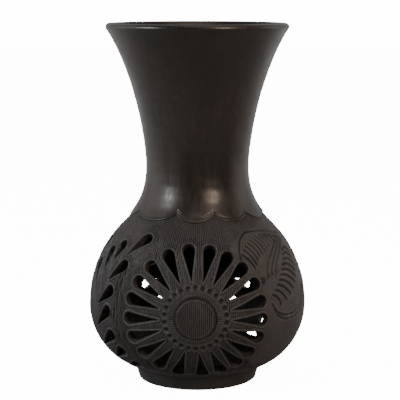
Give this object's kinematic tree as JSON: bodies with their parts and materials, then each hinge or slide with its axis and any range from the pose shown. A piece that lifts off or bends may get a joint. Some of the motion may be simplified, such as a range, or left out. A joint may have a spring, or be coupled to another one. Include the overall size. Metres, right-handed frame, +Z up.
{
  "type": "black clay vase",
  "caption": "Free-standing black clay vase with a round carved openwork belly, a narrow waist, a flared burnished neck and a low foot ring.",
  "frame": {"origin": "middle of the foot ring's resting face", "axes": "+Z up along the vase's axis; -Y is the front, the way the first flower faces"},
  "size_m": [0.152, 0.152, 0.25],
  "materials": {
    "burnished_clay": "burnished, satin",
    "carved_clay": "scraped and combed, matt",
    "foot_clay": "smoothed, matt",
    "inner_clay": "wiped, matt"
  },
  "bodies": {
    "root": {"foot_ring": "foot_clay", "floor_pat": "inner_clay", "lower_bowl": "carved_clay", "belly_wall": "carved_clay", "shoulder_wall": "carved_clay", "neck_collar": "burnished_clay", "lower_neck_coil": "burnished_clay", "upper_neck_coil": "burnished_clay", "rim_coil": "burnished_clay"}
  },
  "joints": []
}
